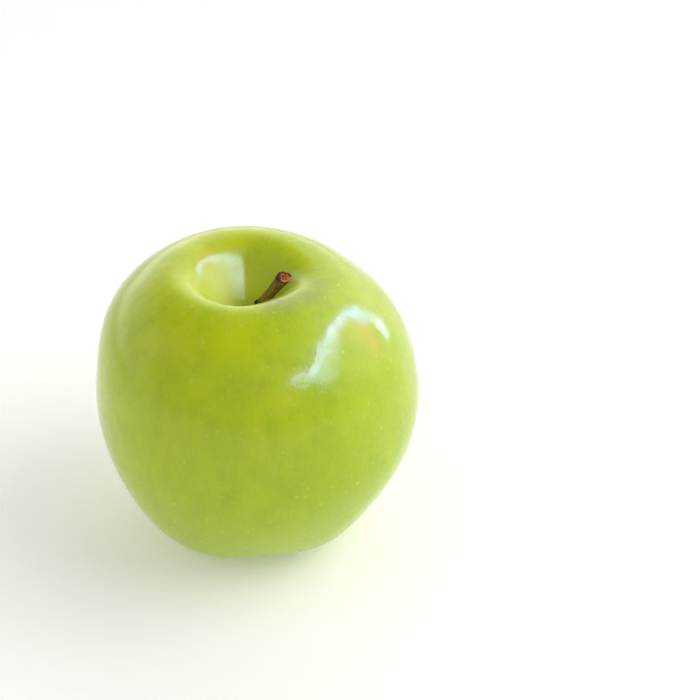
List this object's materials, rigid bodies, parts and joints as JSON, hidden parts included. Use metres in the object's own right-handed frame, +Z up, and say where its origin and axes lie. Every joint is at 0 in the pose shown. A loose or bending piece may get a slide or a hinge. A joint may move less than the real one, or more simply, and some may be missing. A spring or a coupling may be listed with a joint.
{
  "type": "apple",
  "caption": "Whole green eating apple with a deep stem cavity, a short leaning stem and a dried calyx in the basin underneath; it stands upright on its knobbed foot.",
  "frame": {"origin": "middle of the box at the height of the surface that the apple stands on", "axes": "+Z up along the core, towards the stem; -Y is the front, the side that the picture looks at; the stem leans towards +X"},
  "size_m": [0.0796, 0.0793, 0.0732],
  "materials": {
    "skin": "waxy, glossy green fruit skin",
    "stem_bark": "dry, matt olive-brown bark",
    "calyx_leaf": "dry, matt brown sepals"
  },
  "bodies": {
    "root": {"apple_body": "skin", "stem": "stem_bark", "calyx": "calyx_leaf"}
  },
  "joints": []
}
